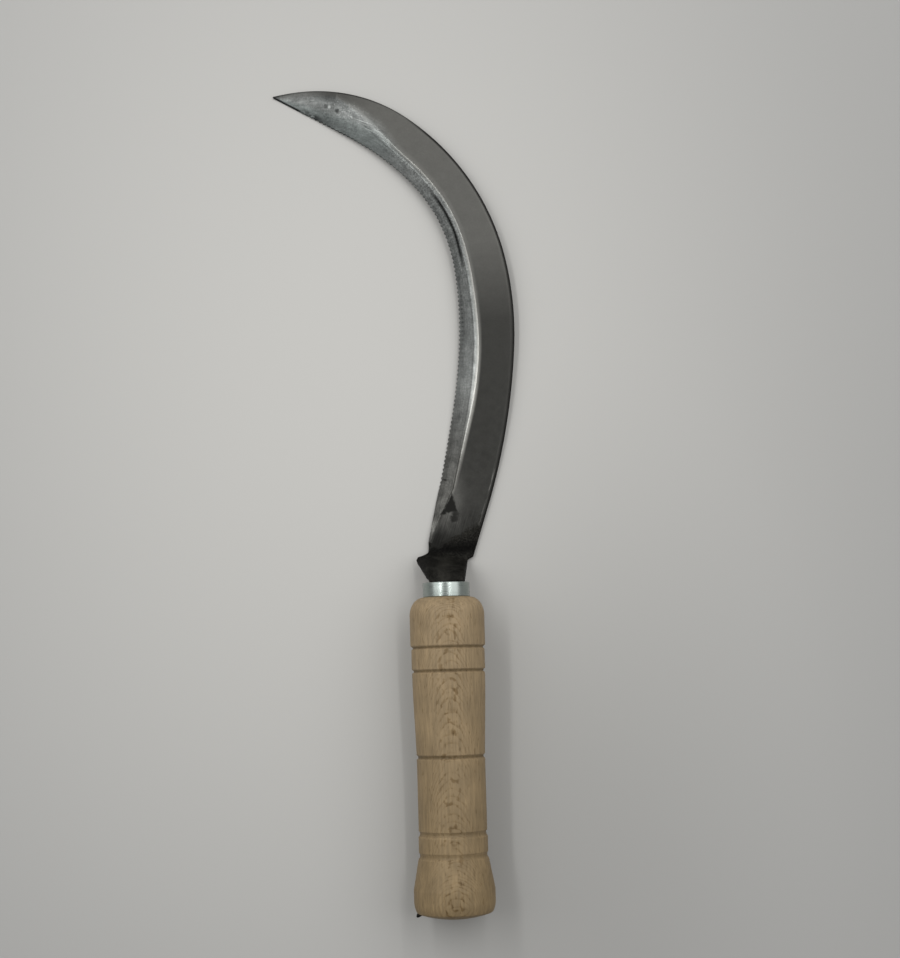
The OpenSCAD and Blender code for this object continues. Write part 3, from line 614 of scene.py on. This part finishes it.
def steel_marks():
    """Group: marks on forged and ground steel. Streak runs along the blade, from the piece's own run, Mottle
    is cloudy, and Grain is fine."""
    group = bpy.data.node_groups.new("steel_marks", "ShaderNodeTree")
    face = group.interface
    face.new_socket("Streak length", in_out="INPUT", socket_type="NodeSocketFloat").default_value = 9.0
    face.new_socket("Mottle scale", in_out="INPUT", socket_type="NodeSocketFloat").default_value = 260.0
    for label in ("Streak", "Mottle", "Grain"):
        face.new_socket(label, in_out="OUTPUT", socket_type="NodeSocketFloat")
    given = group.nodes.new("NodeGroupInput")
    result = group.nodes.new("NodeGroupOutput")
    run_map = add_node(group, "ShaderNodeUVMap", uv_map="run").outputs["UV"]
    fine = add_node(group, "ShaderNodeCombineXYZ", {
        "X": given.outputs["Streak length"], "Y": 150.0, "Z": 1.0}).outputs["Vector"]
    stretched = add_node(group, "ShaderNodeVectorMath", {0: run_map, 1: fine}, operation="MULTIPLY")
    streak = add_node(group, "ShaderNodeTexNoise", {"Vector": stretched.outputs["Vector"], "Scale": 1.0,
                                                    "Detail": 4.0, "Roughness": 0.6})
    place = add_node(group, "ShaderNodeTexCoord").outputs["Object"]
    cloud = add_node(group, "ShaderNodeTexNoise", {"Vector": place, "Scale": given.outputs["Mottle scale"],
                                                   "Detail": 4.0, "Roughness": 0.6})
    grain = add_node(group, "ShaderNodeTexNoise", {"Vector": place, "Scale": 1300.0, "Detail": 2.0})
    group.links.new(streak.outputs["Fac"], result.inputs["Streak"])
    group.links.new(cloud.outputs["Fac"], result.inputs["Mottle"])
    group.links.new(grain.outputs["Fac"], result.inputs["Grain"])
    return group


def inside_of(tree, point, corners):
    """How far a point of the run lies inside a polygon: the least distance to its sides, in millimetres."""
    least = None
    corners = np.array(corners)
    for start, end in zip(corners, np.roll(corners, -1, axis=0)):
        inward = np.array([start[1] - end[1], end[0] - start[0]]) / np.linalg.norm(end - start)
        dot = add_node(tree, "ShaderNodeVectorMath", {0: point, 1: (*inward, 0)}, operation="DOT_PRODUCT")
        depth = calc(tree, "SUBTRACT", dot.outputs["Value"], float(inward @ start))
        least = depth if least is None else calc(tree, "MINIMUM", least, depth)
    return least


SCALE_PATCHES = (((25.3, 17.8), (14.6, 18.9), (17.3, 13.0)), ((17.5, 18.3), (13.2, 20.2), (14.6, 17.4)))
# Each pit's place along and across, its radius and how dark it is.
PITS = (
    (261.0, 7.2, 1.2, 0.45), (254.7, 8.6, 1.6, 0.8), (13.7, 13.3, 2.8, 0.95), (16.1, 13.4, 2.5, 0.85),
    (10.3, 13.4, 2.8, 0.35))


def forged_steel():
    """Dark forged steel: smooth grey on the flat, a bright ridge, partly wear and partly a painted highlight, a
    ground bevel, a mottled point, and black scale at the neck and tang. The mesh gives the tones along the blade,
    which hold painted reflection, and the places of the ridge and of the ground point, and the run gives
    millimetres along the back and across from it."""
    material, tree, shader = new_material("forged_steel")
    marks = add_node(tree, "ShaderNodeGroup", node_tree=steel_marks()).outputs
    given = {name: add_node(tree, "ShaderNodeAttribute", attribute_name=name).outputs["Fac"]
             for name in ("past_ridge", "past_nose", "share", "to_edge", "flat_tone", "ridge_highlight_tone",
                          "ridge_half", "bevel_tone", "crease", "tick")}
    run_map = add_node(tree, "ShaderNodeUVMap", uv_map="run").outputs["UV"]
    run_mm = add_node(tree, "ShaderNodeVectorMath", {0: run_map, 1: (100, 100, 0)},
                      operation="MULTIPLY").outputs["Vector"]
    parts = add_node(tree, "ShaderNodeSeparateXYZ", {"Vector": run_mm}).outputs
    along, across = parts["X"], parts["Y"]

    ground = fade(tree, given["past_ridge"], -1.2, 0.8)
    tone = blend(tree, ground, given["flat_tone"], given["bevel_tone"])
    # Painted sheen: a lighter haze added to the colour near the heel, on the flat side of the ridge.
    slanted = calc(tree, "MULTIPLY_ADD", calc(tree, "SUBTRACT", 24.0, along), 0.3, given["past_ridge"])
    heel_sheen = calc(tree, "MULTIPLY", fade(tree, slanted, -10.0, 0.5), fade(tree, along, 4.0, 16.0))
    heel_sheen = calc(tree, "MULTIPLY", heel_sheen, fade(tree, along, 46.0, 22.0))
    heel_sheen = calc(tree, "MULTIPLY", heel_sheen, fade(tree, given["past_ridge"], 0.6, 0.0))
    tone = calc(tree, "MULTIPLY_ADD", heel_sheen, 0.06, tone)
    # Painted highlight: the ridge's band takes a lighter colour, partly wear and partly the lamps' reflection in
    # its rounded step.
    ridge_wear_and_highlight = line(tree, given["past_ridge"], -0.4, given["ridge_half"])
    tone = blend(tree, ridge_wear_and_highlight, tone, given["ridge_highlight_tone"])
    crease = calc(tree, "MULTIPLY", line(tree, given["past_ridge"], 2.1, 1.15), given["crease"])
    tone = blend(tree, crease, tone, 0.006)
    ticked = calc(tree, "MULTIPLY", given["tick"], fade(tree, marks["Mottle"], 0.3, 0.5))
    tone = calc(tree, "MULTIPLY", tone, calc(tree, "SUBTRACT", 1.0, ticked))
    nose = fade(tree, given["past_nose"], -3.5, 4.0)
    nose_tone = ramp(tree, given["share"], [
        (0.0, 0.06), (0.12, 0.083), (0.36, 0.152), (0.62, 0.138), (0.75, 0.09), (1.0, 0.078)])
    nose_tone = blend(tree, fade(tree, along, 260.0, 270.0), nose_tone, 0.175)
    tone = blend(tree, nose, tone, nose_tone)
    near_ridge = calc(tree, "MULTIPLY", line(tree, given["past_ridge"], 0.5, 5.0), line(tree, along, 238.0, 20.0))
    brushed = calc(tree, "MULTIPLY", fade(tree, marks["Streak"], 0.52, 0.68), near_ridge)
    tone = calc(tree, "MULTIPLY_ADD", brushed, 0.14, tone)

    worked = calc(tree, "MAXIMUM", ground, nose)
    streaky = calc(tree, "MULTIPLY_ADD", calc(tree, "SUBTRACT", marks["Streak"], 0.5), 0.9, 1.0)
    cloudy = calc(tree, "MULTIPLY_ADD", calc(tree, "SUBTRACT", marks["Mottle"], 0.5), 0.9, 1.0)
    rough_cut = blend(tree, line(tree, along, 170.0, 70.0), 0.8, 1.9)
    grainy = calc(tree, "MULTIPLY_ADD", calc(tree, "SUBTRACT", marks["Grain"], 0.5), rough_cut, 1.0)
    marked = calc(tree, "MULTIPLY", streaky, calc(tree, "MULTIPLY", cloudy, grainy))
    tone = calc(tree, "MULTIPLY", tone, blend(tree, worked, 1.0, marked))
    heel_strokes = calc(tree, "MULTIPLY_ADD", calc(tree, "SUBTRACT", marks["Streak"], 0.5), 1.8, 1.0)
    tone = calc(tree, "MULTIPLY", tone, blend(tree, fade(tree, along, 26.0, 12.0), 1.0, heel_strokes))
    blotchy = blend(tree, fade(tree, along, 100.0, 30.0), 0.25, 0.7)
    stained = calc(tree, "MULTIPLY_ADD", calc(tree, "SUBTRACT", marks["Mottle"], 0.5), blotchy, 1.0)
    dusty = calc(tree, "MULTIPLY_ADD", calc(tree, "SUBTRACT", marks["Grain"], 0.5), 0.22, 1.0)
    stained = calc(tree, "MULTIPLY", stained, dusty)
    tone = calc(tree, "MULTIPLY", tone, stained)

    edge_patch = calc(tree, "MULTIPLY", fade(tree, given["to_edge"], 3.8, 1.6), line(tree, along, 267.0, 13.0))
    blotted = fade(tree, marks["Mottle"], 0.37, 0.5)
    tone = blend(tree, calc(tree, "MULTIPLY", edge_patch, blotted), tone, 0.03)
    # Painted shade: a dark line along the steep facet of the edge near the point.
    edge_shade_line = calc(tree, "MULTIPLY", fade(tree, given["to_edge"], 1.3, 0.6), fade(tree, along, 273.5, 276.0))
    tone = blend(tree, edge_shade_line, tone, 0.028)
    # Painted shade: the rounded back is darker along its edge towards the point.
    back_edge_shade = calc(tree, "MULTIPLY", fade(tree, across, 1.2, 0.4), fade(tree, along, 232.0, 248.0))
    tone = blend(tree, calc(tree, "MULTIPLY", back_edge_shade, 0.7), tone, 0.03)
    sparks = calc(tree, "MULTIPLY", line(tree, along, 250.0, 16.0), line(tree, given["share"], 0.42, 0.3))
    sparks = calc(tree, "MULTIPLY", sparks, fade(tree, marks["Grain"], 0.58, 0.72))
    tone = calc(tree, "MULTIPLY_ADD", sparks, 0.11, tone)
    for pit_along, pit_across, pit_r, dark in PITS:
        away = add_node(tree, "ShaderNodeVectorMath", {0: run_mm, 1: (pit_along, pit_across, 0)},
                        operation="DISTANCE").outputs["Value"]
        away = calc(tree, "MULTIPLY_ADD", calc(tree, "SUBTRACT", marks["Mottle"], 0.5), 4.0, away)
        tone = blend(tree, calc(tree, "MULTIPLY", fade(tree, away, pit_r, pit_r / 3), dark), tone, 0.02)
    speck = add_node(tree, "ShaderNodeVectorMath", {0: run_mm, 1: (259.3, 7.5, 0)},
                     operation="DISTANCE").outputs["Value"]
    tone = blend(tree, fade(tree, speck, 0.95, 0.4), tone, 0.31)
    patched = calc(tree, "MAXIMUM", *(inside_of(tree, run_mm, corners) for corners in SCALE_PATCHES))
    ragged = calc(tree, "MULTIPLY_ADD", calc(tree, "SUBTRACT", marks["Mottle"], 0.5), 3.0, patched)
    tone = blend(tree, fade(tree, ragged, -0.4, 0.6), tone, 0.016)
    scratch = calc(tree, "MULTIPLY", line(tree, along, 30.0, 0.8), line(tree, across, 22.3, 1.7))
    tone = blend(tree, scratch, tone, 0.012)
    # Painted shade: the rounded back is darker along its edge from the heel to the bow.
    spine_shade = calc(tree, "MULTIPLY", fade(tree, across, 1.7, 0.8), fade(tree, along, 226.0, 206.0))
    tone = blend(tree, spine_shade, tone, 0.019)
    # Painted highlight: a light line just inside the rounded back near the heel, where it catches the light.
    heel_back_highlight = calc(tree, "MULTIPLY", line(tree, across, 1.7, 0.5), line(tree, along, 30.0, 26.0))
    heel_back_highlight = calc(tree, "MULTIPLY", heel_back_highlight, fade(tree, marks["Streak"], 0.46, 0.6))
    tone = calc(tree, "MULTIPLY_ADD", heel_back_highlight, 0.15, tone)

    heel_slant = calc(tree, "MULTIPLY_ADD", across, 1.1, calc(tree, "SUBTRACT", along, 16.5))
    neck_side = calc(tree, "MULTIPLY_ADD", along, 1.5, 5.0)
    scaled = calc(tree, "MULTIPLY_ADD", calc(tree, "SUBTRACT", marks["Mottle"], 0.5), -24.0,
                  calc(tree, "MINIMUM", heel_slant, neck_side))
    scaled = calc(tree, "MULTIPLY_ADD", calc(tree, "SUBTRACT", marks["Streak"], 0.5), -12.0, scaled)
    scale = fade(tree, scaled, 2.5, -2.0)
    on_heel = fade(tree, along, -8.0, -1.0)
    crusty = calc(tree, "MULTIPLY", fade(tree, marks["Mottle"], 0.42, 0.7), 0.009)
    specks = calc(tree, "MULTIPLY", fade(tree, marks["Grain"], 0.35, 0.75), blend(tree, on_heel, 0.008, 0.016))
    # The neck's scale is lighter along its middle and darker at its sides.
    lighter_mid_neck = calc(tree, "MULTIPLY_ADD", line(tree, across, 9.8, 5.5), 0.01, 0.004)
    soot = calc(tree, "ADD", crusty, calc(tree, "ADD", specks, blend(tree, on_heel, lighter_mid_neck, 0.004)))
    # Painted shade: the scale is darker in the hollow where the neck's lower bend meets the heel.
    crank_shade = line(tree, calc(tree, "MULTIPLY_ADD", across, 0.33, along), 3.6, 5.2)
    soot = calc(tree, "MULTIPLY", soot, blend(tree, crank_shade, 1.0, 0.2))
    tone = blend(tree, scale, tone, soot)
    steel = add_node(tree, "ShaderNodeMix", {
        "Factor": calc(tree, "MULTIPLY", worked, fade(tree, along, 20.0, 90.0)),
        "A": (1.0, 0.99, 0.92, 1), "B": (0.97, 1.01, 0.98, 1)}, data_type="RGBA").outputs["Result"]
    blued = calc(tree, "MULTIPLY", fade(tree, given["share"], 0.5, 0.75), fade(tree, along, 200.0, 235.0))
    steel = tint(tree, blued, steel, (0.95, 1.0, 1.0, 1))
    hue = add_node(tree, "ShaderNodeMix", {
        "Factor": scale, "A": steel, "B": (1.04, 1.0, 0.86, 1)}, data_type="RGBA").outputs["Result"]
    tree.links.new(tint(tree, 1.0, hue, tone), shader.inputs["Base Color"])

    polish = blend(tree, ridge_wear_and_highlight, 0.42, 0.32)
    tree.links.new(blend(tree, scale, polish, 0.6), shader.inputs["Roughness"])
    tree.links.new(blend(tree, scale, 0.92, 0.25), shader.inputs["Metallic"])
    shader.inputs["Specular IOR Level"].default_value = 0.05
    cut = calc(tree, "MULTIPLY", marks["Streak"], worked)
    crust = calc(tree, "MULTIPLY", calc(tree, "ADD", marks["Mottle"], marks["Grain"]), scale)
    bump = add_node(tree, "ShaderNodeBump", {"Strength": 0.4, "Distance": 0.00012,
                                             "Height": calc(tree, "ADD", cut, crust)})
    tree.links.new(bump.outputs["Normal"], shader.inputs["Normal"])
    return material


forging = np.concatenate([rod, neck, crescent])
rows = len(forging)
before = len(rod) + len(neck)
row_s = np.concatenate([np.linspace(-170, -16, len(rod)), -16 * q, crescent_s])
row_across = np.concatenate([rod_across, neck_across, across])
run_uv = np.stack([np.repeat(row_s / 100, COLUMNS), row_across.ravel() / 100], axis=1)
ridge = np.concatenate([np.full((before, COLUMNS), -30.0), past_ridge])
width_here = np.concatenate([np.full(before, 20.0), blade_width(crescent_s)])[:, None]
nose_line = np.interp(row_s, [204, 212, 218, 224, 232, 240, 248, 256, 264, 275, BACK_LEN],
                      [26, 17, 14.2, 11.9, 9.2, 7.7, 5.4, 4.5, 2.0, 0.8, 0.3])
ridge_shift = np.interp(row_s, [30, 42, 66, 85, 148, 160, 178, 195], [0, 0.35, 0.35, 0, 0, 0.45, 0.45, 0])
near_edge = np.clip(1.3 - np.abs(width_here - row_across - 1.6) / 0.65, 0, 1)
crests = np.concatenate([np.zeros(before), 1 - wave])[:, None]
tick = 0.62 * ease(1.5 * crests - 0.4) * near_edge * (tooth_marks(row_s) * (row_s > 60))[:, None]
tones = {
    "past_ridge": ridge + ridge_shift[:, None],
    "past_nose": np.clip(row_across - nose_line[:, None], -10, 10),
    "share": np.clip(row_across / width_here, 0, 1),
    "to_edge": np.clip(width_here - row_across, 0, 10),
    # The flat and bevel tones hold painted reflection as well as the steel's colour: they are lighter or darker
    # along the blade as it faces the lamps.
    "flat_tone": np.interp(row_s, [-2, 8, 24, 110, 150, 215, 232, 246, 251, 258, 264, 275],
                           [0.012, 0.028, 0.041, 0.042, 0.094, 0.1, 0.096, 0.077, 0.068, 0.07, 0.1,
                            0.13])[:, None],
    # ridge_highlight_tone: the colour of the painted highlight on the worn ridge, along the blade.
    "ridge_highlight_tone": np.interp(row_s, [18, 24, 34, 40, 48, 56, 74, 84, 98, 112, 150, 225, 241, 252],
                            [0.05, 0.16, 0.165, 0.19, 0.35, 0.42, 0.42, 0.36, 0.28, 0.235, 0.17, 0.165, 0.15,
                             0.06])[:, None],
    "bevel_tone": np.interp(row_s, [3, 5, 7, 8.6, 10.5, 12.4, 14.5, 40, 62, 78, 110, 160, 176, 192, 205, 240,
                                    250, 258, 266, 275],
                            [0.07, 0.1, 0.105, 0.073, 0.05, 0.052, 0.068, 0.06, 0.078, 0.13, 0.08, 0.068, 0.08,
                             0.08, 0.09, 0.085, 0.07, 0.058, 0.065, 0.09])[:, None],
    "ridge_half": np.interp(row_s, [20, 30, 45, 60, 85, 110, 172, 190, 212, 222],
                            [1.0, 1.4, 1.5, 1.7, 2.2, 2.4, 2.4, 3.0, 3.2, 4.2])[:, None],
    "crease": (ease((row_s - 131) / 20) * ease((191 - row_s) / 14))[:, None],
    "tick": tick}
points = forging.reshape(-1, 3) + np.array([AXIS_X, SHOULDER_Y, 0])
faces = grid_faces(rows, COLUMNS, False).tolist()
faces.append(list(range(COLUMNS))[::-1])
faces.append(list(range((rows - 1) * COLUMNS, rows * COLUMNS)))
blade = put_mesh("forged_blade", points, faces, forged_steel(), {
    name: (values + 0 * ridge).ravel() for name, values in tones.items()}, run_uv)
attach(blade, "root")
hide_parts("blade")

# Floor: a plain pale sheet that the sickle lies on.
FLOOR_HALF = 3000.0
corners = np.array([[-1, -1, 0], [1, -1, 0], [1, 1, 0], [-1, 1, 0]]) * FLOOR_HALF


def spot(tree, place, middle, reach):
    """A soft round or oval spot: 1 at its middle, falling smoothly to 0 at its reach along x and y."""
    scale = (1 / reach[0], 1 / reach[1], 0.0)
    shift = (-middle[0] / reach[0], -middle[1] / reach[1], 0.0)
    scaled = add_node(tree, "ShaderNodeMapping", {
        "Vector": place, "Location": shift, "Scale": scale}).outputs["Vector"]
    away = add_node(tree, "ShaderNodeVectorMath", {0: scaled}, operation="LENGTH").outputs["Value"]
    return fade(tree, away, 1.0, 0.0)


def pale_sheet():
    """Matt pale grey, with a painted pool of light in the hollow of the blade and a painted shadow beside the
    butt. It is pale again far away, where the lamps don't reach, so that it meets the room without a line."""
    material, tree, shader = new_material("pale_sheet")
    place = add_node(tree, "ShaderNodeTexCoord").outputs["Object"]
    # Painted pool of light: the sheet is paler round the hollow of the blade.
    colour = add_node(tree, "ShaderNodeMix", {
        "Factor": spot(tree, place, (-0.02, 0.045), (0.32, 0.47)), "A": (0.332, 0.33, 0.322, 1),
        "B": (0.485, 0.48, 0.461, 1)}, data_type="RGBA").outputs["Result"]
    # Painted shadow: the sheet is darker beside the butt.
    shade = calc(tree, "MULTIPLY", spot(tree, place, (0.077, -0.155), (0.12, 0.24)), 0.17)
    colour = tint(tree, shade, colour, (0, 0, 0, 1))
    far = spot(tree, place, (0.0, 0.0), (2.4, 2.4))
    colour = add_node(tree, "ShaderNodeMix", {"Factor": fade(tree, far, 1.0, 0.0), "A": colour,
                                              "B": (0.93, 0.92, 0.89, 1)},
                      data_type="RGBA").outputs["Result"]
    tree.links.new(colour, shader.inputs["Base Color"])
    shader.inputs["Roughness"].default_value = 0.9
    shader.inputs["Specular IOR Level"].default_value = 0.1
    return material


floor = put_mesh("floor", corners, [[0, 1, 2, 3]], pale_sheet())

# Light: a wide soft panel on each side, with a dark gap between them above the camera.
PANELS = (
    ("left_panel", (-0.85, 0.55, 0.95), 1.2, 1.6, 8.2), ("right_panel", (0.8, 0.45, 1.1), 1.4, 1.6, 10.1),
    ("left_tube", (-0.5, 0.5, 1.0), 0.08, 1.6, 4.1), ("right_tube", (0.33, 0.5, 1.05), 0.05, 1.6, 2.5))
for name, place, wide, long, watts in PANELS:
    lamp = bpy.data.lights.new(name, "AREA")
    lamp.shape = "RECTANGLE"
    lamp.size = wide
    lamp.size_y = long
    lamp.energy = watts
    panel = bpy.data.objects.new(name, lamp)
    backwards = np.array(place) - np.array([0, 0.05, 0])
    backwards = backwards / np.linalg.norm(backwards)
    sideways = np.cross([0, 1, 0], backwards)
    sideways = sideways / np.linalg.norm(sideways)
    turned_to = np.stack([sideways, np.cross(backwards, sideways), backwards], axis=1)
    panel.matrix_world = Matrix.Translation(place) @ Matrix(turned_to.tolist()).to_4x4()
    bpy.context.scene.collection.objects.link(panel)

world = bpy.data.worlds.new("room")
world.use_nodes = True
world.node_tree.nodes["Background"].inputs["Color"].default_value = (0.34, 0.338, 0.333, 1)
world.node_tree.nodes["Background"].inputs["Strength"].default_value = 1.0
bpy.context.scene.world = world
bpy.context.scene.view_settings.view_transform = "Standard"

# Camera: nearly straight above the handle, tipped a little towards the blade.
# The photograph's lens sees 900 pixels at 1800 pixels' distance, and the tool lies a little turned.
CAMERA_HEIGHT = 0.815
CAMERA_X, CAMERA_Y = (AXIS_X + 0.67) * MM, (SHOULDER_Y - 32.1) * MM
PITCH_DOWN, ROLL_TURN = np.radians(6.06), np.radians(1.636)
eye = bpy.data.cameras.new("camera")
eye.sensor_fit = "HORIZONTAL"
eye.sensor_width = 36.0
eye.lens = 72.0
camera = bpy.data.objects.new("camera", eye)
right = np.array([np.cos(ROLL_TURN), -np.sin(ROLL_TURN), 0])
ahead = np.array([np.sin(ROLL_TURN), np.cos(ROLL_TURN), 0])
upwards = np.cos(PITCH_DOWN) * ahead + np.sin(PITCH_DOWN) * np.array([0, 0, 1])
look_back = np.cross(right, upwards)
camera.matrix_world = Matrix.Translation((CAMERA_X, CAMERA_Y, CAMERA_HEIGHT)) @ Matrix(
    np.stack([right, upwards, look_back], axis=1).tolist()).to_4x4()
bpy.context.scene.collection.objects.link(camera)
bpy.context.scene.camera = camera
